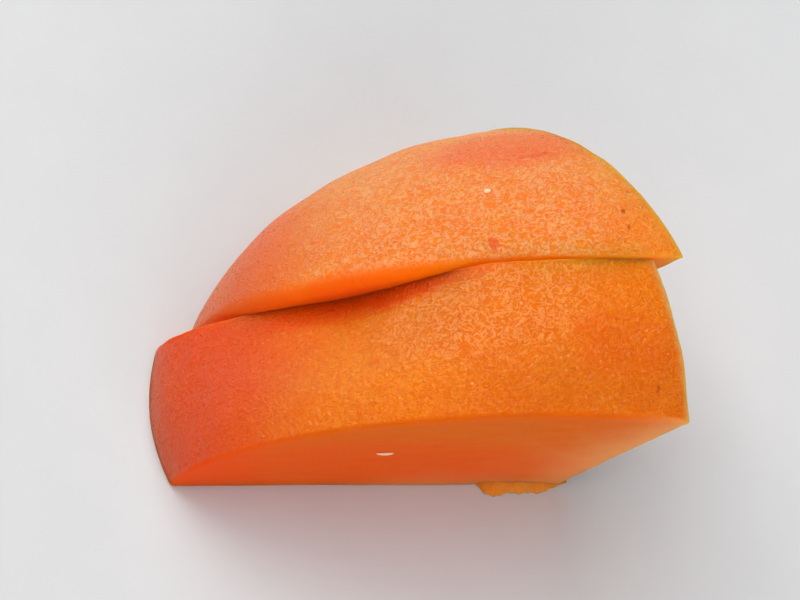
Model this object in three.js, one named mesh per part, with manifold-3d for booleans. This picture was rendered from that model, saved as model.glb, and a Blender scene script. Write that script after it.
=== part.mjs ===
import * as THREE from 'three';
import Module from 'manifold-3d';
import { mergeVertices } from 'three/addons/utils/BufferGeometryUtils.js';

// Half a fresh apricot, lying on its cut face with the stone taken out.
// It is sliced lengthwise, and two slices still lie together and keep the half's dome.
// The slice in front of them and the end on the +X side are cut away.
//
// Millimetres and degrees. +X runs along the half's length, +Y from the front cut to the back, +Z up.
// The knife cuts are stated in the fruit's own frame, whose origin is the middle of the whole fruit
// dropped onto the flat halving cut. At the end everything is moved so that the origin is the
// middle of the object's base.

// The whole fruit before any cut. Its middle lies FRUIT_SINK below the halving cut.
const FRUIT_HALF_LENGTH = 27.6;
const FRUIT_HALF_WIDTH = 21.3;
const FRUIT_HALF_HEIGHT = 22.7;
const FRUIT_SINK = 1.6;
const FRUIT_SWELL = 0.011;
const FRUIT_ROUND_STEPS = 112;
const FRUIT_LENGTH_STEPS = 72;

// The hollow that the stone leaves in the halving cut.
const STONE_HALF_LENGTH = 11.4;
const STONE_HALF_WIDTH = 7.6;
const STONE_HALF_HEIGHT = 6.2;
const STONE_X = -0.6;
const STONE_Y = 0.9;
const STONE_SWELL = 0.05;
const STONE_ROUND_STEPS = 56;
const STONE_LENGTH_STEPS = 36;

// Knife cuts. Each has its distance from the fruit's middle at the base and the plan direction
// that it faces, and leans so that the flesh reaches further out at the top than at the base.
const SLIT_DISTANCE = 5.3;
const SLIT_LEAN = 8.9;
const FRONT_DISTANCE = 7.2;
const FRONT_FACING = -93.8;
const FRONT_LEAN = 6.8;
const END_DISTANCE = 1.2;
const END_FACING = 17.5;
const END_LEAN = 20.7;
const FRONT_END_FACING = 13.2;

// The front slice has slipped towards -X and turned a little in plan, which opens the slit there.
const SLIP = 2.3;
const SLIP_TURN = 1.0;
const SLIT_GAP = 0.46;
const SLIT_GAP_TURN = 1.0;

// Its dome sags beside the slit, from SAG_START down to the full share at SAG_END along X,
// and from nothing at SAG_FRONT to all of it at SAG_BACK along Y.
const SAG = 0.3;
const SAG_START = -3;
const SAG_END = -15;
const SAG_FRONT = -6.5;
const SAG_BACK = 3.5;

// The torn foot of the front cut, where the stone's hollow comes close to it.
const TORN_START = -4.3;
const TORN_END = 0.2;
const TORN_LUMPS = 6;
const TORN_Y = -6.9;
const TORN_SIZE = 0.85;

const KNIFE = 120;

const wasm = await Module();
wasm.setup();

const rad = THREE.MathUtils.degToRad;

// The solid that a closed three.js geometry bounds.
function solid(geometry) {
  const bare = geometry.clone();
  bare.deleteAttribute('normal');
  bare.deleteAttribute('uv');
  const joined = mergeVertices(bare, 1e-4);
  return new wasm.Manifold(new wasm.Mesh({
    numProp: 3,
    vertProperties: new Float32Array(joined.attributes.position.array),
    triVerts: new Uint32Array(joined.index.array),
  }));
}

// A finished solid as a geometry.
function geometryOf(body) {
  const mesh = body.getMesh();
  const geometry = new THREE.BufferGeometry();
  geometry.setAttribute('position', new THREE.BufferAttribute(new Float32Array(mesh.vertProperties), 3));
  geometry.setIndex(new THREE.BufferAttribute(new Uint32Array(mesh.triVerts), 1));
  return geometry;
}

// A ball with its poles on the X axis, stretched to three half sizes, with a few broad swellings
// so that no section of it is a true ellipse.
function swollenBall(halfX, halfY, halfZ, swell, roundSteps, lengthSteps) {
  const ball = new THREE.SphereGeometry(1, roundSteps, lengthSteps);
  ball.rotateZ(Math.PI / 2);
  const place = ball.attributes.position;
  const p = new THREE.Vector3();
  for (let i = 0; i < place.count; i += 1) {
    p.fromBufferAttribute(place, i);
    const along = Math.sin(3.1 * p.x - 1.9 * p.y - 0.5);
    const across = Math.sin(2.7 * p.z - 2.9 * p.y - 1.4 * p.x);
    const size = 1 + swell * (along + across) / 2;
    place.setXYZ(i, halfX * p.x * size, halfY * p.y * size, halfZ * p.z * size);
  }
  return ball;
}

// What a knife takes away: a block whose near face stands at the given distance, faces the given
// plan direction and leans so that its top is further out than its base.
function beyondCut(distance, facing, lean) {
  const block = new THREE.BoxGeometry(KNIFE, KNIFE * 2, KNIFE * 2);
  block.translate(KNIFE / 2, 0, 0);
  block.rotateY(rad(lean));
  block.rotateZ(rad(facing));
  block.translate(distance * Math.cos(rad(facing)), distance * Math.sin(rad(facing)), 0);
  return solid(block);
}

// Small torn lumps of flesh along the foot of the front cut, no two of one size.
function tornFoot() {
  const lumps = [];
  for (let i = 0; i < TORN_LUMPS; i += 1) {
    const share = i / (TORN_LUMPS - 1);
    const uneven = Math.sin(4.6 * i + 0.4);
    const lump = new THREE.IcosahedronGeometry(TORN_SIZE, 2);
    lump.scale(1.15 + 0.4 * uneven, 0.9 + 0.28 * Math.sin(2.1 * i), 0.9 - 0.3 * uneven);
    lump.rotateZ(0.7 * uneven);
    lump.translate(TORN_START + (TORN_END - TORN_START) * share, TORN_Y + 0.15 * uneven, 0.1);
    lumps.push(solid(lump));
  }
  return wasm.Manifold.union(lumps);
}

const board = new THREE.BoxGeometry(KNIFE * 2, KNIFE * 2, KNIFE);
board.translate(0, 0, -KNIFE / 2);
const belowBase = solid(board);

// The whole fruit, its dome lowered beside the slit by the given share.
function fruit(sag) {
  const ball = swollenBall(
    FRUIT_HALF_LENGTH,
    FRUIT_HALF_WIDTH,
    FRUIT_HALF_HEIGHT,
    FRUIT_SWELL,
    FRUIT_ROUND_STEPS,
    FRUIT_LENGTH_STEPS,
  );
  ball.translate(0, 0, -FRUIT_SINK);
  const place = ball.attributes.position;
  for (let i = 0; i < place.count; i += 1) {
    const along = THREE.MathUtils.smoothstep(-place.getX(i), -SAG_START, -SAG_END);
    const across = THREE.MathUtils.smoothstep(place.getY(i), SAG_FRONT, SAG_BACK);
    place.setZ(i, place.getZ(i) * (1 - sag * along * across));
  }
  return solid(ball);
}

const stone = swollenBall(
  STONE_HALF_LENGTH,
  STONE_HALF_WIDTH,
  STONE_HALF_HEIGHT,
  STONE_SWELL,
  STONE_ROUND_STEPS,
  STONE_LENGTH_STEPS,
);
stone.translate(STONE_X, STONE_Y, 0);

// The pitted half with its +X end cut off, its dome sagging by the given share.
function half(sag, endFacing) {
  return fruit(sag)
    .subtract(solid(stone))
    .subtract(belowBase)
    .subtract(beyondCut(END_DISTANCE, endFacing, END_LEAN));
}

const backSlice = half(0, END_FACING).subtract(beyondCut(-SLIT_DISTANCE, -90, SLIT_LEAN));

const slip = new THREE.Matrix4().makeRotationZ(rad(SLIP_TURN)).setPosition(-SLIP, 0, 0);
const frontHalf = half(SAG, FRONT_END_FACING).subtract(beyondCut(FRONT_DISTANCE, FRONT_FACING, FRONT_LEAN));
const frontSlice = solid(geometryOf(frontHalf).applyMatrix4(slip))
  .subtract(beyondCut(SLIT_DISTANCE - SLIT_GAP, 90 + SLIT_GAP_TURN, -SLIT_LEAN))
  .add(tornFoot().subtract(belowBase));

const flesh = [
  ['back_slice', backSlice, 0xf0913a],
  ['front_slice', frontSlice, 0xe8821e],
];

const group = new THREE.Group();
group.name = 'apricot_half';
for (const [name, body, color] of flesh) {
  const material = new THREE.MeshStandardMaterial({ color, roughness: 0.42, metalness: 0 });
  const mesh = new THREE.Mesh(geometryOf(body), material);
  mesh.name = name;
  group.add(mesh);
}

const box = new THREE.Box3().setFromObject(group);
const middle = box.getCenter(new THREE.Vector3());
for (const mesh of group.children) {
  mesh.geometry.translate(-middle.x, -middle.y, -box.min.z);
  mesh.geometry = mesh.geometry.toNonIndexed();
  mesh.geometry.computeVertexNormals();
}

export default group;
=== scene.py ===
import math

import bpy
import numpy as np
from mathutils import Matrix, Vector


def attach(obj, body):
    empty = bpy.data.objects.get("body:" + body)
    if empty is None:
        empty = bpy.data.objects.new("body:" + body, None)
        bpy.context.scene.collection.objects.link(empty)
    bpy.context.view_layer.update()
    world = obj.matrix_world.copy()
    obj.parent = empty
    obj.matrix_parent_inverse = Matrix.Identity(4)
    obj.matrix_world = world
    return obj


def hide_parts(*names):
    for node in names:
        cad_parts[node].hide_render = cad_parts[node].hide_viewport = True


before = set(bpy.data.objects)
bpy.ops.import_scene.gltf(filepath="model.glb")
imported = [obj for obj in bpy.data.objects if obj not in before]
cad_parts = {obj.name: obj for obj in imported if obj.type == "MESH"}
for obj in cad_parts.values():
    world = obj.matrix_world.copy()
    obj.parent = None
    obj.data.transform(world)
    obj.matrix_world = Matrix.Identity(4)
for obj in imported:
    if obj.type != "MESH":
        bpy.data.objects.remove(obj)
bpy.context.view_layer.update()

# Half an apricot on its cut face, in two slices that lie together.
# Shapes are worked out in millimetres in the fruit's own frame (its middle, dropped onto the cut
# face), as in the part's source, and go into the meshes in metres in the row frame.

MM = 0.001
BASE_MIDDLE = np.array([-10.768, 5.506, 0.0])

# The whole fruit, its soft unevenness and the hollow of its stone.
FRUIT = np.array([27.6, 21.3, 22.7])
SINK = 1.6
SWELL = 0.011
STONE = np.array([11.4, 7.6, 6.2])
STONE_X, STONE_Y = -0.6, 0.9

# Knife cuts: distance from the middle, plan direction faced, and lean, in millimetres and degrees.
# The front slice's face is drawn SLIT_CLOSES further back, so that the two cut faces touch.
SLIT_DISTANCE, SLIT_LEAN = 5.3, 8.9
SLIT_CLOSES = 0.14
FRONT_CUT = (7.2, -93.8, 6.8)
BACK_END_CUT = (1.2, 17.5, 20.7)
FRONT_END_CUT = (1.2, 13.2, 20.7)

# The front slice has slipped along the slit and turned, and its dome sags beside the slit.
SLIP, SLIP_TURN = 2.3, 1.0
SAG = 0.3

# The torn lip at the foot of the front cut.
LIP_START, LIP_END = -5.9, 1.4
LIP_ROOT, LIP_ROOT_SLOPE = -6.75, -0.066
LIP_REACH, LIP_THICKNESS = 1.2, 0.8
LIP_STEPS, LIP_ROUND = 150, 40

# Points round one section: along the base, under the stone's arch, up the end cut, over the skin.
BASE_POINTS, ARCH_POINTS, END_POINTS, SKIN_POINTS = 40, 74, 66, 210
POINTS = BASE_POINTS + ARCH_POINTS + END_POINTS + SKIN_POINTS
SKIN_START = POINTS - SKIN_POINTS
END_START = SKIN_START - END_POINTS

# Section planes between the slices' rounded edges, planes in one rounded edge, and rings that
# close a flat cut.
BACK_PLANES, FRONT_PLANES = 104, 88
ROUNDING_STEPS, CUT_RINGS = 9, 34

# Radii of the cut edges along the base and the end cut, and for each cut along the skin at its
# right and left ends.
BASE_RADIUS, END_RADIUS = 0.10, 0.20
BACK_SLIT_EDGE, FRONT_CUT_EDGE, FRONT_SLIT_EDGE = (0.4, 1.5), (0.45, 0.45), (0.14, 0.16)

# Points (x, z) that the rings on the flat cuts close round.
BACK_SLIT_CENTRE, FRONT_CUT_CENTRE, FRONT_SLIT_CENTRE = (-12.5, 7.5), (-11.5, 6.5), (-12.8, 7.0)

# How far the skin, the cut flesh, the hollow's wall and the back slice's far point lie inside
# the true outlines, so that no unevenness stands out.
SKIN_SINKS, FLESH_SINKS, WALL_SINKS = 0.14, 0.05, 0.2
TIP_SINKS = 0.15

# A drop's rings and points round it, and how far it is sunk into the flesh.
DROP_RINGS, DROP_ROUND, DROP_SUNK = 28, 40, 0.12


def smooth_step(value, start, end):
    """0 below start and 1 above end, along 3 t^2 - 2 t^3."""
    t = np.clip((value - start) / (end - start), 0, 1)
    return t * t * (3 - 2 * t)


def waves(x, y, z, size, seed, count=9):
    """Soft random unevenness of about unit height: the sum of count sine waves of wavelength near
    size, in seeded random directions and phases."""
    dice = np.random.default_rng(seed)
    way = dice.normal(size=(count, 3))
    way /= np.linalg.norm(way, axis=1)[:, None]
    way *= (2 * math.pi / size * dice.uniform(0.7, 1.4, count))[:, None]
    phase = dice.uniform(0, 2 * math.pi, count)
    total = np.zeros(np.shape(x))
    for (a, b, c), p in zip(way, phase):
        total = total + np.sin(a * x + b * y + c * z + p)
    return total * math.sqrt(2 / count) / 1.4


def knife(distance, facing, lean):
    """A knife plane as (normal, offset), with flesh kept where normal . p <= offset. The normal is
    (cos lean cos facing, cos lean sin facing, -sin lean)."""
    f, l = math.radians(facing), math.radians(lean)
    normal = np.array([math.cos(l) * math.cos(f), math.cos(l) * math.sin(f), -math.sin(l)])
    return normal, distance * math.cos(l)


def turned(angle):
    """Rotation about Z by an angle in degrees."""
    c, s = math.cos(math.radians(angle)), math.sin(math.radians(angle))
    return np.array([[c, -s, 0], [s, c, 0], [0, 0, 1.0]])


def before_slip(plane):
    """A plane of the finished object, seen from the front slice before it slipped."""
    normal, offset = plane
    return turned(SLIP_TURN).T @ normal, offset + normal[0] * SLIP


def as_depth(plane):
    """The plane as (a, b, c) in y = a + b x + c z."""
    normal, offset = plane
    return np.array([offset, -normal[0], -normal[2]]) / normal[1]


def depth(lane, x, z):
    """y of a section plane at x and z."""
    return lane[0] + lane[1] * x + lane[2] * z


def skin_point(t, lane, sag):
    """Where a section plane meets the skin at angle t, from the base at the left (0) over the top:
    x = -A r cos t, z = C r sin t - sink, with r from (x/A)^2 + (y/B)^2 + ((z + sink)/C)^2 = 1 on
    the plane. Then broad swellings scale it, and the dome sags beside the slit."""
    half_length, half_width, half_height = FRUIT
    near = lane[0] - lane[2] * SINK
    slope = -lane[1] * half_length * np.cos(t) + lane[2] * half_height * np.sin(t)
    root = (near * slope) ** 2 - (half_width ** 2 + slope ** 2) * (near ** 2 - half_width ** 2)
    r = (-near * slope + np.sqrt(np.maximum(root, 0))) / (half_width ** 2 + slope ** 2)
    x = -half_length * r * np.cos(t)
    z = half_height * r * np.sin(t) - SINK
    px, py, pz = x / half_length, depth(lane, x, z) / half_width, (z + SINK) / half_height
    along = np.sin(3.1 * px - 1.9 * py - 0.5)
    across = np.sin(2.7 * pz - 2.9 * py - 1.4 * px)
    size = 1 + SWELL * (along + across) / 2
    x = x * size
    z = (z + SINK) * size - SINK
    z = z * (1 - sag * smooth_step(-x, 3, 15) * smooth_step(depth(lane, x, z), -6.5, 3.5))
    return x, z


def arch_height(x, y):
    """Height of the stone's hollow over the base: C sqrt(1 - ((x - x0)/A)^2 - ((y - y0)/B)^2)."""
    inside = 1 - ((x - STONE_X) / STONE[0]) ** 2 - ((y - STONE_Y) / STONE[1]) ** 2
    return STONE[2] * np.sqrt(np.maximum(inside, 0))


def halve(low, high, too_far, steps=40):
    """Bisection on whole arrays: the value between low and high where too_far turns true."""
    for _ in range(steps):
        middle = (low + high) / 2
        far = too_far(middle)
        high = np.where(far, middle, high)
        low = np.where(far, low, middle)
    return (low + high) / 2


def foot_angle(lane, sag):
    """The skin's angle on each section plane where it comes up from the base, looked for between
    0 and 1.2 radians."""
    zero = np.zeros(lane.shape[1])
    return halve(zero, zero + 1.2, lambda t: skin_point(t, lane, sag)[1] > 0)


def shares(count, crowding):
    """A column of count shares s from 0 up to but without 1, crowded towards both ends:
    s - crowding sin(2 pi s) / (2 pi)."""
    s = (np.arange(count) / count)[:, None]
    return s - crowding * np.sin(2 * math.pi * s) / (2 * math.pi)


def sections(lane, end, sag):
    """Closed outlines of a slice on the section planes in lane, as x and z arrays of (points,
    planes): along the base, under the stone's arch, up the end cut and back over the skin. The
    rim, where base and arch meet, and the points of the arch are found by repeated steps, since
    y depends on x and z on a leaning plane. The arch meets the end cut somewhere below 7 mm."""
    normal, offset = end
    count = lane.shape[1]

    def end_x(z):
        """x where the section planes meet the end cut at height z, from normal . p = offset."""
        reach = offset - normal[1] * lane[0] - (normal[1] * lane[2] + normal[2]) * z
        return reach / (normal[0] + normal[1] * lane[1])

    def past_end(t):
        """Whether the skin at angle t lies past the end cut: normal . p > offset."""
        x, z = skin_point(t, lane, sag)
        return normal[0] * x + normal[1] * depth(lane, x, z) + normal[2] * z > offset

    zero = np.zeros(count)
    foot = foot_angle(lane, sag)
    crown = halve(foot, zero + math.pi, past_end)
    left = skin_point(foot, lane, sag)[0]
    top_z = skin_point(crown, lane, sag)[1]
    low_z = halve(zero, zero + 7, lambda z: arch_height(end_x(z), depth(lane, end_x(z), z)) < z)
    right = end_x(low_z)

    rim = np.full(count, STONE_X)
    for _ in range(8):
        open_share = 1 - ((depth(lane, rim, 0) - STONE_Y) / STONE[1]) ** 2
        rim = STONE_X - STONE[0] * np.sqrt(np.maximum(open_share, 0))
    rim = np.minimum(rim, left + 0.8 * (right - left))

    base_x = left + (rim - left) * shares(BASE_POINTS, 0.12)
    base_z = np.zeros_like(base_x)

    s = shares(ARCH_POINTS, 0)
    arch_x = rim + (right - rim) * s ** 2
    arch_z = np.zeros_like(arch_x)
    for _ in range(12):
        arch_z = (arch_z + arch_height(arch_x, depth(lane, arch_x, arch_z))) / 2
    arch_z = arch_z * (1 - s ** 12) + low_z * s ** 12

    end_z = low_z + (top_z - low_z) * shares(END_POINTS, 0.8)
    end_line_x = end_x(end_z)

    over_skin = crown + (foot - crown) * shares(SKIN_POINTS, 0.5)
    skin_x, skin_z = skin_point(over_skin, lane, sag)

    x = np.concatenate([base_x, arch_x, end_line_x, skin_x])
    z = np.maximum(np.concatenate([base_z, arch_z, end_z, skin_z]), 0)
    return x, z


def skin_share():
    """1 along the skin's stretch of an outline and 0 elsewhere, with soft ends."""
    i = np.arange(POINTS)
    return smooth_step(i, SKIN_START, SKIN_START + 6) * smooth_step(-i, 1 - POINTS, 8 - POINTS)


def edge_radius(at_right, at_left):
    """Radius of the rounded edge between an outline and a flat cut, for each point of the
    outline. Along the skin it goes from at_right to at_left, along the end cut it is END_RADIUS
    and along the base BASE_RADIUS, with smooth steps between them."""
    i = np.arange(POINTS)
    skin = smooth_step(i, SKIN_START - 2, SKIN_START + 16) * smooth_step(-i, -POINTS, 16 - POINTS)
    beside_skin = at_right + (at_left - at_right) * smooth_step(i, SKIN_START + 30, POINTS - 90)
    end = smooth_step(i, END_START - 6, END_START + 12)
    beside_end = BASE_RADIUS + (END_RADIUS - BASE_RADIUS) * end
    return beside_end + (beside_skin - END_RADIUS) * skin


def inset(x, z, amount, centre):
    """The outlines moved inwards by amount: each point goes straight towards the centre, further
    where that way is aslant to the outline, whose normal is the neighbours' difference turned a
    quarter turn. Points keep their order round the centre, so that corners don't cross over."""
    dx = np.roll(x, -2, 0) - np.roll(x, 2, 0)
    dz = np.roll(z, -2, 0) - np.roll(z, 2, 0)
    length = np.maximum(np.hypot(dx, dz), 1e-9)
    way_x, way_z = centre[0] - x, centre[1] - z
    far = np.hypot(way_x, way_z)
    facing = (way_z * dx - way_x * dz) / (length * far)
    amount = amount / np.clip(facing, 0.5, 1) / far
    return x + way_x * amount, z + way_z * amount


def softened(x, z, rounds):
    """The outlines with their corners eased: each point moves half way to its neighbours' middle,
    rounds times, and the base stays flat."""
    flat = z <= 1e-6
    for _ in range(rounds):
        x = (np.roll(x, 1, 0) + 2 * x + np.roll(x, -1, 0)) / 4
        z = np.where(flat, 0, (np.roll(z, 1, 0) + 2 * z + np.roll(z, -1, 0)) / 4)
    return x, z


def rounding_depths(radius):
    """Depths below a flat cut at which the rounded edge is drawn, from 0 towards radius:
    r (1 - cos a), with a from 0 towards a right angle."""
    return radius * (1 - np.cos(np.arange(ROUNDING_STEPS) / ROUNDING_STEPS * math.pi / 2))


def rounding_inset(radius, below):
    """How far a quarter-round edge of the given radius stands in at a depth below the cut:
    r - sqrt(2 r d - d^2)."""
    d = np.minimum(below, radius)
    return radius - np.sqrt(np.maximum(2 * radius * d - d * d, 0))


def flat_cut(x, z, centre):
    """Rings that close an outline on its flat cut: ring n is the outline shrunk towards the
    centre by (1 - n / CUT_RINGS)^0.9."""
    s = (1 - (np.arange(1, CUT_RINGS) / CUT_RINGS)) ** 0.9
    return centre[0] + (x[:, None] - centre[0]) * s, centre[1] + (z[:, None] - centre[1]) * s


def close_grid(columns, rows, first, last):
    """Quads over a grid of columns closed in the first direction, with a fan to one point at each
    end: first and last are those points' numbers."""
    i = np.arange(columns)
    j = (i + 1) % columns
    k = np.arange(rows - 1)[:, None] * columns
    quads = np.stack([k + i, k + j, k + columns + j, k + columns + i], -1).reshape(-1, 4)
    tail = (rows - 1) * columns
    start = np.stack([j, i, np.full(columns, first)], -1)
    end = np.stack([tail + i, tail + j, np.full(columns, last)], -1)
    return quads, np.concatenate([start, end])


def put_mesh(name, points, quads, triangles):
    """A mesh object from whole arrays of points in millimetres. Six times its volume is the sum
    of a . (b x c) over its triangles, and where that is negative all faces are turned round."""
    a, b, c = (points[triangles[:, n]] for n in range(3))
    volume = np.einsum("ij,ij->", a, np.cross(b, c))
    for n in (1, 2):
        a, b, c = points[quads[:, 0]], points[quads[:, n]], points[quads[:, n + 1]]
        volume += np.einsum("ij,ij->", a, np.cross(b, c))
    if volume < 0:
        quads, triangles = quads[:, ::-1], triangles[:, ::-1]
    mesh = bpy.data.meshes.new(name)
    mesh.vertices.add(len(points))
    mesh.vertices.foreach_set("co", ((points - BASE_MIDDLE) * MM).ravel())
    corners = np.concatenate([quads.ravel(), triangles.ravel()])
    mesh.loops.add(len(corners))
    mesh.loops.foreach_set("vertex_index", corners)
    sizes = np.concatenate([np.full(len(quads), 4), np.full(len(triangles), 3)])
    mesh.polygons.add(len(sizes))
    mesh.polygons.foreach_set("loop_start", np.concatenate([[0], np.cumsum(sizes)[:-1]]))
    mesh.update(calc_edges=True)
    mesh.validate()
    mesh.shade_smooth()
    piece = bpy.data.objects.new(name, mesh)
    bpy.context.scene.collection.objects.link(piece)
    return piece


def set_layer(piece, name, values):
    """A value at every point of a piece, for its material to read."""
    layer = piece.data.attributes.new(name, "FLOAT", "POINT")
    layer.data.foreach_set("value", np.asarray(values, dtype=np.float32))


def outward(piece):
    """The piece's point normals as an array."""
    normals = np.zeros(len(piece.data.vertices) * 3)
    piece.data.vertex_normals.foreach_get("vector", normals)
    return normals.reshape(-1, 3)


def move_along_normals(piece, points, amount):
    """Moves every point by amount millimetres along its normal, and keeps the foot on the base."""
    moved = points + outward(piece) * amount[:, None]
    moved[:, 2] = np.where(points[:, 2] < 1e-6, 0, np.maximum(moved[:, 2], 0))
    piece.data.vertices.foreach_set("co", ((moved - BASE_MIDDLE) * MM).ravel())
    piece.data.update()
    return moved


def slice_grid(first, last, end, sag, centres, planes, rounding, tip):
    """The points of a slice between two knife planes, its faces, and how much of each point is
    skin. The section planes run from the first to the last, as a (1 - s) + b s, with extra ones
    near each flat cut for its rounded edge; each flat cut is closed by rings round its centre.
    Skin turns to flesh on the rounded edge, from 1.05 to 0.25 of its radius below the cut. With
    tip true the slice runs out to a point on the last plane."""
    a, b = as_depth(first), as_depth(last) if not tip else last
    radius = [edge_radius(*r)[:, None] for r in rounding]
    thick = abs(b[0] - a[0])
    inner = np.linspace(0, 1, planes)
    start = radius[0].max() / thick
    near = rounding_depths(radius[0].max()) / thick
    if tip:
        share = np.concatenate([near, start + (1 - start) * np.sin(inner * math.pi / 2)[:-1]])
        below = [share * thick]
    else:
        stop = 1 - radius[1].max() / thick
        far = 1 - rounding_depths(radius[1].max())[::-1] / thick
        share = np.concatenate([near, start + (stop - start) * inner, far])
        below = [share * thick, (1 - share) * thick]
    lane = a[:, None] * (1 - share) + b[:, None] * share
    x, z = sections(lane, end, sag)
    x, z = softened(x, z, 2)
    for r, d, centre in zip(radius, below, centres):
        x, z = inset(x, z, rounding_inset(r, d), centre)
    z = np.maximum(z, 0)
    skin = skin_share()[:, None] * np.ones_like(x)
    for r, d in zip(radius, below):
        skin = skin * smooth_step(d, 0.25 * r, 1.05 * r)

    parts = [(x, z, np.broadcast_to(lane[:, None, :], (3,) + x.shape), skin)]
    cx, cz = flat_cut(x[:, 0], z[:, 0], centres[0])
    flat = np.broadcast_to(a[:, None, None], (3,) + cx.shape)
    parts.insert(0, (cx[:, ::-1], cz[:, ::-1], flat, np.zeros_like(cx)))
    poles = [(*centres[0], a)]
    if tip:
        poles.append((x[:, -1].mean(), 0.0, lane[:, -1]))
    else:
        cx, cz = flat_cut(x[:, -1], z[:, -1], centres[1])
        flat = np.broadcast_to(b[:, None, None], (3,) + cx.shape)
        parts.append((cx, cz, flat, np.zeros_like(cx)))
        poles.append((*centres[1], b))

    x = np.concatenate([p[0] for p in parts], 1)
    z = np.concatenate([p[1] for p in parts], 1)
    lane = np.concatenate([p[2] for p in parts], 2)
    skin = np.concatenate([p[3] for p in parts], 1)
    y = depth(lane, x, z)
    points = np.stack([x.T.ravel(), y.T.ravel(), z.T.ravel()], 1)
    ends = np.array([[px, depth(pl, px, pz), pz] for px, pz, pl in poles])
    count = len(points)
    quads, fans = close_grid(POINTS, x.shape[1], count, count + 1)
    return np.concatenate([points, ends]), quads, fans, np.concatenate([skin.T.ravel(), [0, 0]])


def paleness_and_floor_glow(points, end):
    """How pale cut flesh is drawn. Most of it, along the base and the end cut, is painted light:
    the glow of light from the pale floor, bounced and reflected, and of light coming through where
    the flesh thins out. It falls off as exp(-distance / length) and fades out towards the slice's
    left end. A little more comes towards the fruit's middle, where the flesh is truly paler."""
    normal, offset = end
    from_end = np.maximum(offset - points @ normal, 0)
    # Painted light: the floor's glow near the base and the end cut.
    floor_glow = np.maximum(np.exp(-points[:, 2] / 1.6), np.exp(-from_end / 2.6))
    inner = 1 - np.linalg.norm((points + np.array([0, 0, SINK])) / FRUIT, axis=1)
    right = smooth_step(points[:, 0], -17, -3)
    return np.clip((0.15 + 0.85 * right) * floor_glow + 0.35 * np.clip(inner, 0, 1), 0, 1)


def stone_nearness(points):
    """1 on the wall of the stone's hollow, which is the ellipsoid of scaled radius 1, and 0 where
    the scaled radius is over 1.09."""
    p = points - np.array([STONE_X, STONE_Y, 0])
    return 1 - smooth_step(np.linalg.norm(p / STONE, axis=1), 1.03, 1.09)


def relief(points, skin, stone):
    """Small unevenness in millimetres, all of it inwards. The skin has broad dimples, soft lumps
    and fine creases, which are sines of a warped distance in patches: sin(2 pi w / 0.85), where w
    is 0.60 x - 0.74 y + 0.3 z and some waves. Cut flesh has drag marks, and the hollow of the
    stone is furrowed; both are waves in a frame that is stretched along the mark."""
    x, y, z = points.T
    dimples = waves(x, y, z, size=7, seed=3) * 0.05 + waves(x, y, z, size=2.1, seed=4) * 0.014
    bend = waves(x, y, z, size=7, seed=8) * 1.1 + waves(x, y, z, size=2.2, seed=9) * 0.16
    creases = np.sin(2 * math.pi / 0.85 * (0.60 * x - 0.74 * y + 0.3 * z + bend))
    patch = smooth_step(waves(x, y, z, size=9, seed=10), -0.5, 1.2)
    lumps = waves(x, y, z, size=0.5, seed=11, count=24)
    on_skin = dimples + patch * 0.020 * creases + 0.006 * lumps - SKIN_SINKS
    drag = waves(x * 0.3, y * 0.3, z * 1.3, size=1.9, seed=5) * 0.022
    drag = drag + waves(x, y, z, size=0.8, seed=6, count=20) * 0.006
    furrows = waves(x * 0.5, y * 1.2, z, size=1.6, seed=7, count=16) * 0.16 - WALL_SINKS
    on_flesh = (1 - stone) * (drag - FLESH_SINKS) + stone * furrows
    return skin * on_skin + (1 - skin) * on_flesh


def finish_slice(piece, points, skin, pale, stone):
    """Adds the small unevenness and the layers that the material reads, and gives the moved
    points."""
    points = move_along_normals(piece, points, relief(points, skin, stone))
    set_layer(piece, "skin", skin)
    set_layer(piece, "paleness_and_floor_glow", pale)
    set_layer(piece, "stone", stone)
    return points


def make_back_slice():
    """The slice behind the slit, out to the far point where the skin's foot, the end cut and the
    base meet, looked for between y = 15 and 21.25."""
    slit = knife(-SLIT_DISTANCE, -90, SLIT_LEAN)
    end = knife(*BACK_END_CUT)
    normal, offset = end

    def past_point(y):
        """Whether the skin's foot on the upright plane at y lies right of the end cut's foot,
        x = (offset - ny y) / nx."""
        lane = np.array([y, y * 0, y * 0])
        left = skin_point(foot_angle(lane, 0), lane, 0)[0]
        return left > (offset - normal[1] * y) / normal[0]

    far = float(halve(np.array([15.0]), np.array([21.25]), past_point)[0])
    tip = np.array([far - TIP_SINKS, 0.0, 0.0])
    centres, edges = [BACK_SLIT_CENTRE], [BACK_SLIT_EDGE]
    made = slice_grid(slit, tip, end, 0, centres, BACK_PLANES, edges, True)
    points, quads, fans, skin = made
    piece = put_mesh("back_slice_flesh", points, quads, fans)
    stone = stone_nearness(points)
    return piece, finish_slice(piece, points, skin, paleness_and_floor_glow(points, end), stone)


def make_front_slice():
    """The slice between the slit and the front cut, slipped and turned."""
    slit = before_slip(knife(SLIT_DISTANCE + SLIT_CLOSES, 90, -SLIT_LEAN))
    cut, end = knife(*FRONT_CUT), knife(*FRONT_END_CUT)
    centres, edges = [FRONT_CUT_CENTRE, FRONT_SLIT_CENTRE], [FRONT_CUT_EDGE, FRONT_SLIT_EDGE]
    made = slice_grid(cut, slit, end, SAG, centres, FRONT_PLANES, edges, False)
    points, quads, fans, skin = made
    pale, stone = paleness_and_floor_glow(points, end), stone_nearness(points)
    points = points @ turned(SLIP_TURN).T - np.array([SLIP, 0, 0])
    piece = put_mesh("front_slice_flesh", points, quads, fans)
    return piece, finish_slice(piece, points, skin, pale, stone)


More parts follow.
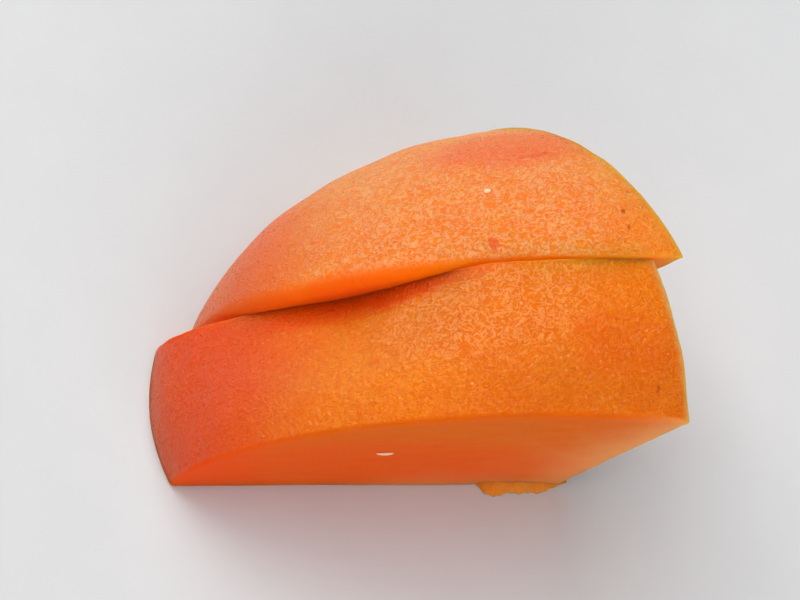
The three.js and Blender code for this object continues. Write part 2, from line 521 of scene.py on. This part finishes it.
def make_torn_lip():
    """The ragged lip of flesh at the foot of the front cut. Along s it lies on the base from left
    to right; round t its section runs from the root inside the slice to the torn edge and back:
    y = root - reach (1 - cos t)/2, z = thickness sin(t)^0.7, thinner towards the edge. Sine waves
    make the reach and thickness ragged, and both run out at the ends."""
    around = np.arange(LIP_ROUND) / LIP_ROUND * 2 * math.pi
    s, t = np.meshgrid(np.linspace(0, 1, LIP_STEPS), around, indexing="ij")
    x = LIP_START + (LIP_END - LIP_START) * s
    envelope = smooth_step(s, 0, 0.16) * (1 - smooth_step(s, 0.55, 1.0)) ** 0.7
    ragged = 0.84 + 0.11 * np.sin(8.5 * s + 0.4) + 0.06 * np.sin(27 * s + 1)
    ragged = ragged + 0.045 * np.sin(67 * s)
    reach = 0.25 + LIP_REACH * envelope * ragged
    out = (1 - np.cos(t)) / 2
    curl = 1 + 0.12 * np.sin(26 * s + 3 * out)
    top = LIP_THICKNESS * np.maximum(envelope, 0.04) * (1 - 0.62 * out) * curl
    y = LIP_ROOT + LIP_ROOT_SLOPE * (x + 2) - reach * out
    z = np.where(np.sin(t) > 0, top * np.sin(t) ** 0.7, 0.02 * np.sin(t)) + 0.03
    z = z + 0.05 * envelope * out * np.sin(17 * s)
    points = np.stack([x.ravel(), y.ravel(), np.maximum(z, 0).ravel()], 1)
    ends = np.array([[LIP_START - 0.05, y[0].mean(), 0.05], [LIP_END + 0.05, y[-1].mean(), 0.05]])
    quads, fans = close_grid(LIP_ROUND, LIP_STEPS, len(points), len(points) + 1)
    return put_mesh("torn_lip", np.concatenate([points, ends]), quads, fans)


def make_juice_drop(name, carrier, target, width, length, height):
    """A drop of juice on a slice: a lens with the given width across and length up the surface,
    round the surface point nearest to target. Its rings run from the middle of its underside at
    r = -1 over the rim at 0 to its top at 1. A ring's radius goes as
    sqrt(1 - r^2) (1 + 0.08 sin(3 a + 0.5)), and it lies |r|^1.2 of the height above the surface,
    or of DROP_SUNK below it."""
    piece, points = carrier
    nearest = np.argmin(np.linalg.norm(points - target, axis=1))
    middle, normal = points[nearest], outward(piece)[nearest]
    side = np.cross(normal, [0, 0, 1.0])
    side = side / np.linalg.norm(side)
    rise = np.cross(side, normal)
    around = np.arange(DROP_ROUND) / DROP_ROUND * 2 * math.pi
    r, a = np.meshgrid(np.linspace(-1, 1, DROP_RINGS + 2)[1:-1], around, indexing="ij")
    spread = np.sqrt(1 - np.abs(r) ** 2) * (1 + 0.08 * np.sin(3 * a + 0.5))
    lift = np.where(r > 0, height, -DROP_SUNK) * np.abs(r) ** 1.2
    across, up = width / 2 * spread * np.cos(a), length / 2 * spread * np.sin(a)
    drop = middle + across[..., None] * side + up[..., None] * rise
    drop = (drop + lift[..., None] * normal).reshape(-1, 3)
    ends = np.array([middle - DROP_SUNK * normal, middle + height * normal])
    quads, fans = close_grid(DROP_ROUND, DROP_RINGS, len(drop), len(drop) + 1)
    return put_mesh(name, np.concatenate([drop, ends]), quads, fans)


back = make_back_slice()
front = make_front_slice()
torn_lip = make_torn_lip()
drop_behind = make_juice_drop("drop_behind", back, [-5.28, 9.17, 18.30], 0.54, 0.48, 0.17)
drop_in_front = make_juice_drop("drop_in_front", front, [-13.60, -7.67, 9.03], 1.3, 0.36, 0.14)
rides = ((back[0], "back_slice"), (front[0], "front_slice"), (torn_lip, "front_slice"),
         (drop_behind, "back_slice"), (drop_in_front, "front_slice"))
for piece, node in rides:
    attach(piece, "root")
    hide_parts(node)


# Finishes. Sizes are in metres, because the patterns read Object coordinates.

# Sizes of the skin's and the flesh's patterns.
CLOUD_SIZE, FLECK_SIZE = 0.0044, 0.0006
SPECK_SPACING, SPECK_PATCHES = 0.0021, 0.004
PORE_SIZE, FINE_SIZE, BEAD_SIZE, WRINKLE_SIZE = 0.00036, 0.00024, 0.00052, 0.00050
FIBRE_SIZE, FIBRE_REACH, MOIST_SIZE, CELL_SIZE = 0.00055, 0.012, 0.0034, 0.00030
GRAIN_DEPTH, TORN_DEPTH = 0.00024, 0.0001
SWIRL = 0.0011
JUICE_IOR = 1.36

# Colours that several finishes share.
SPOT_BROWN = (0.42, 0.055, 0.004, 1)
FIBRE_BROWN = (0.42, 0.075, 0.004, 1)
# Painted highlight colours for the skin's sparkles and glints.
PAINTED_SPARKLE_ORANGE = (1.0, 0.52, 0.14, 1)
GLINT_ORANGE = (1.0, 0.45, 0.08, 1)
GLINT_PALE = (1.0, 0.48, 0.25, 1)


def node(tree, kind, inputs=(), **settings):
    """A node of a kind. inputs is a list of (socket, value or output to link)."""
    made = tree.nodes.new("ShaderNode" + kind)
    for name, value in settings.items():
        setattr(made, name, value)
    for socket, value in inputs:
        if isinstance(value, bpy.types.NodeSocket):
            tree.links.new(value, made.inputs[socket])
        else:
            made.inputs[socket].default_value = value
    return made


def combine(tree, operation, a, b, c=0.0):
    """The output of a Math node."""
    return node(tree, "Math", [(0, a), (1, b), (2, c)], operation=operation).outputs[0]


def ramp_mask(tree, value, low, high):
    """0 where value is low and 1 where it is high, with a smooth change between them."""
    inputs = [("Value", value), ("From Min", low), ("From Max", high)]
    return node(tree, "MapRange", inputs, interpolation_type="SMOOTHSTEP").outputs[0]


def mix_colour(tree, share, a, b):
    """Colour a, with share of colour b."""
    inputs = [(0, share), (6, a), (7, b)]
    return node(tree, "Mix", inputs, data_type="RGBA").outputs[2]


def mix_value(tree, share, a, b):
    """Value a, with share of value b."""
    return node(tree, "Mix", [(0, share), (2, a), (3, b)], data_type="FLOAT").outputs[0]


def noise(tree, place, size, detail=2.0, roughness=0.5, warp=0.0):
    """Noise from 0 to 1 with lumps of about size metres."""
    inputs = [("Vector", place), ("Scale", 1 / size), ("Detail", detail),
              ("Roughness", roughness), ("Distortion", warp)]
    return node(tree, "TexNoise", inputs).outputs[0]


def new_group(name, inputs, outputs):
    """A shader node group with named sockets, as (tree, the inputs it takes, the outputs it
    gives)."""
    tree = bpy.data.node_groups.new(name, "ShaderNodeTree")
    for label, kind in inputs:
        tree.interface.new_socket(label, in_out="INPUT", socket_type="NodeSocket" + kind)
    for label, kind in outputs:
        tree.interface.new_socket(label, in_out="OUTPUT", socket_type="NodeSocket" + kind)
    taken = tree.nodes.new("NodeGroupInput").outputs
    given = tree.nodes.new("NodeGroupOutput").inputs
    return tree, taken, given


def move_place(tree, place, amount, scale):
    """place + amount * scale, for places that a pattern bends."""
    inputs = [(0, amount), (1, (scale,) * 3), (2, place)]
    return node(tree, "VectorMath", inputs, operation="MULTIPLY_ADD").outputs[0]


def spot_group():
    """A round mark: 1 within Size of Centre and 0 beyond Size times 1 + Softness. A Stretch over 1
    makes it narrower along that axis, and one under 1 wider."""
    inputs = [("Place", "Vector"), ("Centre", "Vector"), ("Stretch", "Vector"), ("Size", "Float"),
              ("Softness", "Float")]
    tree, taken, given = new_group("mark", inputs, [("Mask", "Float")])
    away = node(tree, "VectorMath", [(0, taken["Place"]), (1, taken["Centre"])],
                operation="SUBTRACT").outputs[0]
    away = node(tree, "VectorMath", [(0, away), (1, taken["Stretch"])],
                operation="MULTIPLY").outputs[0]
    far = node(tree, "VectorMath", [(0, away)], operation="LENGTH").outputs["Value"]
    edge = combine(tree, "MULTIPLY", taken["Size"], combine(tree, "ADD", taken["Softness"], 1.0))
    mask = ramp_mask(tree, far, edge, taken["Size"])
    tree.links.new(mask, given["Mask"])
    return tree


def skin_group():
    """Ripe skin: clouds of paler and redder orange, random deeper flecks, and a fine grain of
    pores, beads and short wrinkles that also goes to Height. Painted light lies over it: the
    grain's ridges and the beads' tops are painted paler, as painted highlights, most where the
    sheen marks lie, and the grain's hollows and the places between the ridges are painted darker,
    as painted shade.
    Specks and Marks are brown."""
    inputs = [("Place", "Vector"), ("Orange", "Color"), ("Pale", "Color"), ("Hollow", "Color"),
              ("Marks", "Float"), ("Bloom", "Float")]
    outputs = [("Colour", "Color"), ("Roughness", "Float"), ("Height", "Float")]
    tree, taken, given = new_group("ripe_skin", inputs, outputs)
    place = taken["Place"]
    clouds = ramp_mask(tree, noise(tree, place, CLOUD_SIZE, 4, 0.6), 0.34, 0.70)
    flecks = ramp_mask(tree, noise(tree, place, FLECK_SIZE, 2, 0.6, 0.4), 0.42, 0.66)
    colour = mix_colour(tree, clouds, taken["Orange"], taken["Pale"])
    freckled = combine(tree, "MULTIPLY", flecks, 0.22)
    colour = mix_colour(tree, freckled, colour, taken["Hollow"])
    specks = node(tree, "TexVoronoi", [("Vector", place), ("Scale", 1 / SPECK_SPACING)]).outputs[0]
    chance = noise(tree, place, SPECK_PATCHES, 1)
    specks = combine(tree, "MULTIPLY", ramp_mask(tree, specks, 0.10, 0.05),
                     ramp_mask(tree, chance, 0.55, 0.6))
    spotted = combine(tree, "MAXIMUM", combine(tree, "MULTIPLY", specks, 0.5), taken["Marks"])

    bent = node(tree, "TexNoise", [("Vector", place), ("Scale", 900), ("Detail", 1)]).outputs[1]
    bent = move_place(tree, place, bent, 0.00032)
    pores = node(tree, "TexVoronoi", [("Vector", bent), ("Scale", 1 / PORE_SIZE)]).outputs[0]
    fine = noise(tree, place, FINE_SIZE, 3, 0.65, 0.4)
    grain = mix_value(tree, 0.70, combine(tree, "SUBTRACT", 1.0, pores), fine)
    beads = node(tree, "TexVoronoi", [("Vector", bent), ("Scale", 1 / BEAD_SIZE)]).outputs
    beads = combine(tree, "MULTIPLY", ramp_mask(tree, beads["Distance"], 0.40, 0.08),
                    ramp_mask(tree, beads["Color"], 0.30, 0.50))
    wrinkles = combine(tree, "SUBTRACT", noise(tree, bent, WRINKLE_SIZE, 2, 0.5, 0.7), 0.5)
    wrinkles = ramp_mask(tree, combine(tree, "ABSOLUTE", wrinkles, 0.0), 0.11, 0.01)
    height = combine(tree, "MULTIPLY_ADD", beads, 0.45, grain)
    height = combine(tree, "MULTIPLY_ADD", wrinkles, 0.26, height)
    tree.links.new(height, given["Height"])
    # Painted shade: the grain's hollows are darkened towards the deeper colour.
    painted_pore_shade = ramp_mask(tree, grain, 0.60, 0.36)
    colour = mix_colour(tree, combine(tree, "MULTIPLY", painted_pore_shade, 0.5), colour, taken["Hollow"])
    # Painted highlight: the beads' tops are painted paler orange, like sparkles of light, more in
    # the paler clouds.
    painted_sparkle = combine(tree, "MULTIPLY", beads, combine(tree, "MULTIPLY_ADD", clouds, 0.30, 0.12))
    colour = mix_colour(tree, painted_sparkle, colour, PAINTED_SPARKLE_ORANGE)
    ridges = combine(tree, "MULTIPLY", combine(tree, "MAXIMUM", wrinkles, beads),
                     combine(tree, "MULTIPLY_ADD", fine, 1.5, 0.25))
    ridges = ramp_mask(tree, ridges, 0.20, 1.0)
    # Painted shade between the ridges, stronger in the sheen marks, to set off the painted
    # highlights.
    between = combine(tree, "MULTIPLY_ADD", taken["Bloom"], 0.22, 0.16)
    between = combine(tree, "MULTIPLY", between, combine(tree, "SUBTRACT", 1.0, ridges))
    colour = mix_colour(tree, between, colour, taken["Hollow"])
    # Painted highlight: the ridges are painted towards a pale glint colour, most in the sheen
    # marks.
    painted_highlight = combine(tree, "MULTIPLY_ADD", taken["Bloom"], 0.34, 0.16)
    painted_highlight = combine(tree, "MULTIPLY", painted_highlight, ridges)
    glint = mix_colour(tree, taken["Bloom"], GLINT_ORANGE, GLINT_PALE)
    colour = mix_colour(tree, painted_highlight, colour, glint)
    colour = mix_colour(tree, spotted, colour, SPOT_BROWN)
    tree.links.new(colour, given["Colour"])
    dull = combine(tree, "MULTIPLY_ADD", fine, 0.24, 0.21)
    dull = combine(tree, "MULTIPLY_ADD", beads, -0.14, dull)
    dull = combine(tree, "MULTIPLY_ADD", wrinkles, -0.05, dull)
    dull = combine(tree, "MULTIPLY_ADD", clouds, 0.05, dull)
    tree.links.new(dull, given["Roughness"])
    return tree


def flesh_group():
    """Cut flesh: paler where its paleness input is high, in clouds and in fibres that run out from
    the stone, with brown streaks, most of them on the stone's wall, and moister patches. On the
    slices that input carries flesh that is truly paler towards the fruit's middle and painted
    light near the base and the end cut. The fibres are noise at 0.12 p + 0.012 d, where d is the
    direction from the stone's middle to p, so that they change little along the way out."""
    inputs = [("Place", "Vector"), ("Deep", "Color"), ("Pale", "Color"), ("Paleness", "Float"),
              ("Stone", "Float")]
    outputs = [("Colour", "Color"), ("Roughness", "Float"), ("Height", "Float")]
    tree, taken, given = new_group("cut_flesh", inputs, outputs)
    place = taken["Place"]
    middle = tuple(v * MM for v in (STONE_X - BASE_MIDDLE[0], STONE_Y - BASE_MIDDLE[1], 0))
    spoke = node(tree, "VectorMath", [(0, place), (1, middle)], operation="SUBTRACT").outputs[0]
    spoke = node(tree, "VectorMath", [(0, spoke)], operation="NORMALIZE").outputs[0]
    inputs = [(0, spoke), ("Scale", FIBRE_REACH)]
    spoke = node(tree, "VectorMath", inputs, operation="SCALE").outputs[0]
    lanes = move_place(tree, spoke, place, 0.12)
    fibres = noise(tree, lanes, FIBRE_SIZE, 3, 0.6)
    clouds = noise(tree, place, MOIST_SIZE, 3, 0.5)
    paler = combine(tree, "MULTIPLY_ADD", clouds, 0.5, taken["Paleness"])
    paler = combine(tree, "MULTIPLY_ADD", fibres, 0.3, paler)
    share = ramp_mask(tree, paler, 0.45, 1.25)
    colour = mix_colour(tree, share, taken["Deep"], taken["Pale"])
    streaks = ramp_mask(tree, fibres, 0.52, 0.70)
    streaks = combine(tree, "MULTIPLY", streaks,
                      combine(tree, "MULTIPLY_ADD", taken["Stone"], 0.5, 0.12))
    colour = mix_colour(tree, streaks, colour, FIBRE_BROWN)
    tree.links.new(colour, given["Colour"])
    cells = noise(tree, place, CELL_SIZE, 2, 0.5)
    height = mix_value(tree, 0.5, cells, fibres)
    tree.links.new(height, given["Height"])
    moist = combine(tree, "MULTIPLY_ADD", clouds, 0.16, 0.72)
    moist = combine(tree, "MULTIPLY_ADD", taken["Stone"], 0.10, moist)
    tree.links.new(moist, given["Roughness"])
    return tree


MARK, SKIN, FLESH = spot_group(), skin_group(), flesh_group()


def place_group(tree, group, inputs):
    """A node group placed in a material with its own values, and its outputs."""
    return node(tree, "Group", inputs, node_tree=group).outputs


def marks(tree, place, spots):
    """The highest of several marks. spots is a list of (centre in fruit millimetres, stretch,
    size in millimetres, softness, strength)."""
    total = 0.0
    for centre, stretch, size, softness, strength in spots:
        centre = tuple((c - b) * MM for c, b in zip(centre, BASE_MIDDLE))
        inputs = [("Place", place), ("Centre", centre), ("Stretch", stretch),
                  ("Size", size * MM), ("Softness", softness)]
        spot = combine(tree, "MULTIPLY", place_group(tree, MARK, inputs)["Mask"], strength)
        total = combine(tree, "MAXIMUM", total, spot)
    return total


def new_material(name):
    """A node material, as (material, its tree, its shader, Object coordinates)."""
    material = bpy.data.materials.new(name)
    material.use_nodes = True
    tree = material.node_tree
    place = node(tree, "TexCoord").outputs["Object"]
    return material, tree, tree.nodes["Principled BSDF"], place


def set_shader(shader, values):
    """Uniform values on the shader's own sockets."""
    for socket, value in values.items():
        shader.inputs[socket].default_value = value


def dress(tree, shader, colour, dull, height, depth_in):
    """Links a colour, a roughness and a height, which bumps the surface by depth_in metres."""
    bump = node(tree, "Bump", [("Strength", 1.0), ("Distance", depth_in), ("Height", height)])
    tree.links.new(colour, shader.inputs["Base Color"])
    tree.links.new(dull, shader.inputs["Roughness"])
    tree.links.new(bump.outputs["Normal"], shader.inputs["Normal"])


def fruit_material(name, orange, pale, hollow, ruddy, deep, light, blush_and_shade, brown, sheen_marks):
    """Skin and cut flesh in one finish, told apart by the piece's own layers. orange and pale are
    the skin's colours, and hollow its deeper colour, for random flecks and for painted shade in
    the grain; deep and light are the flesh's. ruddy goes over both at the redder marks, which are
    partly the fruit's own redness and partly painted shade. The sheen marks place painted
    highlights. The edges of the redder and brown marks are bent by noise."""
    material, tree, shader, place = new_material(name)
    swirl = node(tree, "TexNoise", [("Vector", place), ("Scale", 700), ("Detail", 2)]).outputs[1]
    warped = move_place(tree, place, swirl, SWIRL)
    warped = node(tree, "VectorMath", [(0, warped), (1, (SWIRL / 2,) * 3)],
                  operation="SUBTRACT").outputs[0]
    on_skin, paler, near_stone = [
        node(tree, "Attribute", attribute_name=label).outputs["Fac"]
        for label in ("skin", "paleness_and_floor_glow", "stone")]
    skin = place_group(tree, SKIN, [("Place", place), ("Orange", orange), ("Pale", pale),
                                    ("Hollow", hollow), ("Marks", marks(tree, warped, brown)),
                                    ("Bloom", marks(tree, place, sheen_marks))])
    flesh = place_group(tree, FLESH, [("Place", place), ("Deep", deep), ("Pale", light),
                                      ("Paleness", paler), ("Stone", near_stone)])
    colour = mix_colour(tree, on_skin, flesh["Colour"], skin["Colour"])
    # Redder marks over skin and flesh, partly the fruit's own redness and partly painted shade.
    colour = mix_colour(tree, marks(tree, warped, blush_and_shade), colour, ruddy)
    dull = mix_value(tree, on_skin, flesh["Roughness"], skin["Roughness"])
    fibres = combine(tree, "MULTIPLY", flesh["Height"], 0.45)
    height = mix_value(tree, on_skin, fibres, skin["Height"])
    dress(tree, shader, colour, dull, height, GRAIN_DEPTH)
    set_shader(shader, {"IOR": JUICE_IOR, "Specular IOR Level": 0.42, "Subsurface Weight": 0.85,
                        "Subsurface Radius": (1.0, 0.40, 0.10), "Subsurface Scale": 0.0036})
    return material


def torn_material():
    """Ragged, juicy flesh of the torn lip."""
    material, tree, shader, place = new_material("torn_flesh")
    flesh = place_group(tree, FLESH, [("Place", place), ("Deep", (0.70, 0.18, 0.008, 1)),
                                      ("Pale", (0.78, 0.31, 0.05, 1)), ("Paleness", 0.4),
                                      ("Stone", 0.4)])
    dress(tree, shader, flesh["Colour"], flesh["Roughness"], flesh["Height"], TORN_DEPTH)
    set_shader(shader, {"Subsurface Weight": 0.35, "Subsurface Radius": (1.0, 0.30, 0.06),
                        "Subsurface Scale": 0.0012})
    return material


def painted_glint_juice_material():
    """Juice whose pale, nearly white colour is a painted glint, with a faint unevenness in its
    gloss.
    """
    material, tree, shader, place = new_material("juice_with_painted_glint")
    tint = noise(tree, place, FLECK_SIZE, 1)
    tree.links.new(mix_colour(tree, tint, (1.0, 0.74, 0.42, 1), (1.0, 0.86, 0.62, 1)),
                   shader.inputs["Base Color"])
    dull = combine(tree, "MULTIPLY_ADD", tint, 0.05, 0.02)
    tree.links.new(dull, shader.inputs["Roughness"])
    set_shader(shader, {"Transmission Weight": 0.25, "IOR": JUICE_IOR})
    return material


# Marks on the skin, as (centre, stretch, size, softness, strength), in fruit millimetres: redder
# patches, brown specks and smudges, and the sheen. Some redder patches are the fruit's own redness
# and some are painted shade, darker red where shade falls; the largest brown mark in front is
# painted shade, and the sheen marks place painted highlights.
BLUSH_AND_SHADE_BEHIND = [((-3.2, 14.8, 14.6), (0.80, 1.3, 1.2), 2.4, 1.8, 0.58),
                ((-0.9, 12.9, 16.2), (0.55, 2.0, 2.0), 0.7, 1.2, 0.75),
                ((-5.5, 4.0, 20.2), (1.7, 0.7, 1.0), 0.36, 1.0, 0.75),
                # Painted shade at the back slice's left end, partly the fruit's own redness.
                ((-25.0, 7.0, 3.0), (0.7, 0.5, 0.6), 4.0, 1.4, 0.75),
                # Painted shade, darker red, on the cut strip beside the slit: this mark and the
                # next.
                ((-19.5, 4.3, 6.0), (0.30, 1.3, 0.5), 1.5, 1.6, 0.7),
                ((-12.0, 3.2, 12.3), (0.30, 1.3, 0.5), 1.2, 1.6, 0.7)]
BROWN_BEHIND = [((4.42, 6.53, 19.6), (1, 1, 1), 0.16, 0.9, 0.7),
                ((4.40, 4.9, 20.0), (1.4, 0.8, 1), 0.16, 0.9, 0.6),
                ((-0.9, 12.9, 16.2), (0.6, 2.4, 2.4), 0.5, 1.5, 0.2)]
# Painted sheen: where the skin's ridges are painted with pale highlights.
PAINTED_SHEEN_BEHIND = [((-8.0, 8.0, 18.0), (0.40, 0.5, 0.5), 3.4, 1.2, 1.0)]
BLUSH_AND_SHADE_IN_FRONT = [((3.0, -4.6, 20.0), (0.7, 1.0, 0.8), 1.5, 1.5, 0.15),
                  # Painted shade at the front slice's left end, partly the fruit's own redness.
                  ((-28.0, 0.0, 3.0), (0.8, 0.7, 0.6), 4.0, 2.2, 0.80),
                  # Painted shade, darker red, in the crease beside the slit.
                  ((-18.0, 3.8, 9.0), (0.30, 1.3, 0.5), 2.4, 1.3, 0.75),
                  ((-15.0, -8.0, 3.0), (0.35, 1.0, 0.6), 3.2, 1.4, 0.55),
                  # Painted shade, darker red, in the crease beside the slit.
                  ((-10.5, 2.6, 15.6), (0.28, 1.8, 0.4), 1.6, 1.2, 0.75)]
BROWN_AND_SHADE_IN_FRONT = [((5.59, -7.57, 18.6), (1, 1, 1), 0.16, 0.9, 0.7),
                  ((2.52, -3.65, 20.4), (0.8, 1.2, 1), 0.30, 1.6, 0.25),
                  # Painted shade: the front slice's right front drawn darker, where less light
                  # falls.
                  ((6.0, -9.0, 17.0), (0.5, 1.0, 1.0), 4.0, 1.4, 0.24)]
# Painted sheen in front, as behind.
PAINTED_SHEEN_IN_FRONT = [((-7.0, -0.8, 19.5), (0.50, 1.0, 0.6), 2.4, 1.5, 0.65)]
back_finish = fruit_material(
    "back_skin_and_flesh",
    orange=(0.96, 0.265, 0.006, 1), pale=(0.97, 0.335, 0.016, 1), hollow=(0.90, 0.150, 0.003, 1),
    ruddy=(0.88, 0.095, 0.006, 1), deep=(1.0, 0.160, 0.001, 1), light=(0.92, 0.26, 0.030, 1),
    blush_and_shade=BLUSH_AND_SHADE_BEHIND, brown=BROWN_BEHIND, sheen_marks=PAINTED_SHEEN_BEHIND)
# The front slice's colours are darker than the back slice's: partly painted shade, for the front
# slice lies more in shade.
front_finish = fruit_material(
    "front_skin_and_flesh",
    orange=(0.87, 0.208, 0.0005, 1), pale=(0.90, 0.250, 0.002, 1), hollow=(0.74, 0.140, 0.001, 1),
    ruddy=(0.85, 0.052, 0.0003, 1), deep=(0.70, 0.112, 0.0003, 1), light=(0.78, 0.26, 0.075, 1),
    blush_and_shade=BLUSH_AND_SHADE_IN_FRONT, brown=BROWN_AND_SHADE_IN_FRONT, sheen_marks=PAINTED_SHEEN_IN_FRONT)
juice = painted_glint_juice_material()
finishes = (back_finish, front_finish, torn_material(), juice, juice)
for (piece, _), finish in zip(rides, finishes):
    piece.data.materials.append(finish)


def floor_material():
    """A pale matt floor with a faint grain."""
    material, tree, shader, place = new_material("pale_floor")
    grain = noise(tree, place, 0.004, 3)
    tree.links.new(mix_colour(tree, grain, (0.57, 0.585, 0.605, 1), (0.60, 0.615, 0.635, 1)),
                   shader.inputs["Base Color"])
    set_shader(shader, {"Roughness": 0.6})
    return material


# The floor, the light and the camera, in metres in the row frame.
FLOOR_SIZE, FLOOR_HEIGHT = 3, -0.00005
ROOM_COLOUR, ROOM_STRENGTH = (0.93, 0.96, 1.0, 1), 0.08
LIGHT_COLOUR = (1.0, 0.985, 0.96)
CAMERA_PLACE = (-0.05226, -0.1497, 0.3454)
CAMERA_RIGHT, CAMERA_AHEAD = (0.99875, -0.04998, 0.0), (0.01937, 0.3870, -0.9219)
CAMERA_AIM = (-0.0004, -0.0006, 0.0085)
CAMERA_LENS, SENSOR_WIDTH = 222, 36

bpy.ops.mesh.primitive_plane_add(size=FLOOR_SIZE, location=(0, 0, FLOOR_HEIGHT))
floor = bpy.context.object
floor.name = "pale_floor"
floor.data.materials.append(floor_material())

bpy.context.scene.view_settings.view_transform = "Standard"
world = bpy.data.worlds.new("soft_room")
bpy.context.scene.world = world
world.use_nodes = True
set_shader(world.node_tree.nodes["Background"],
           {"Color": ROOM_COLOUR, "Strength": ROOM_STRENGTH})


def soft_light(name, place, size, power, matt, gloss):
    """A soft light that looks at the object. matt and gloss say whether it lights matt surfaces
    and whether smooth and wet places mirror it."""
    light = bpy.data.lights.new(name, "AREA")
    light.shape = "RECTANGLE"
    light.size, light.size_y = size
    light.energy = power
    light.color = LIGHT_COLOUR
    lamp = bpy.data.objects.new(name, light)
    lamp.location = place
    lamp.rotation_mode = "QUATERNION"
    lamp.rotation_quaternion = (-Vector(place)).to_track_quat("-Z", "Y")
    lamp.visible_diffuse = matt
    lamp.visible_glossy = gloss
    bpy.context.scene.collection.objects.link(lamp)


# name, place, size, power, lights matt surfaces, is mirrored
soft_light("window_behind", (-0.10, 0.38, 0.38), (0.50, 0.36), 2.0, True, False)
soft_light("window_mirrored", (-0.22, 0.46, 0.24), (0.12, 0.10), 1.8, False, True)
soft_light("skylight_mirrored", (-0.22, 0.24, 0.46), (0.12, 0.12), 1.0, False, True)
soft_light("light_overhead", (0.0, 0.04, 0.60), (0.56, 0.50), 2.5, True, False)
soft_light("low_fill_in_front", (0.03, -0.48, 0.24), (0.6, 0.24), 1.75, True, False)


def photo_camera():
    """The camera where the photo's stands, turned by the shortest arc to look at the object, with
    a longer lens so that the object fills the frame."""
    place = Vector(CAMERA_PLACE)
    right = Vector(CAMERA_RIGHT)
    ahead = Vector(CAMERA_AHEAD).normalized()
    up = right.cross(ahead)
    aim = (Vector(CAMERA_AIM) - place).normalized()
    arc = ahead.rotation_difference(aim)
    axes = [arc @ right, arc @ up, -(arc @ ahead)]
    data = bpy.data.cameras.new("camera")
    data.lens = CAMERA_LENS
    data.sensor_width = SENSOR_WIDTH
    data.clip_start = 0.01
    camera = bpy.data.objects.new("camera", data)
    camera.matrix_world = Matrix.Translation(place) @ Matrix(axes).transposed().to_4x4()
    bpy.context.scene.collection.objects.link(camera)
    bpy.context.scene.camera = camera


photo_camera()
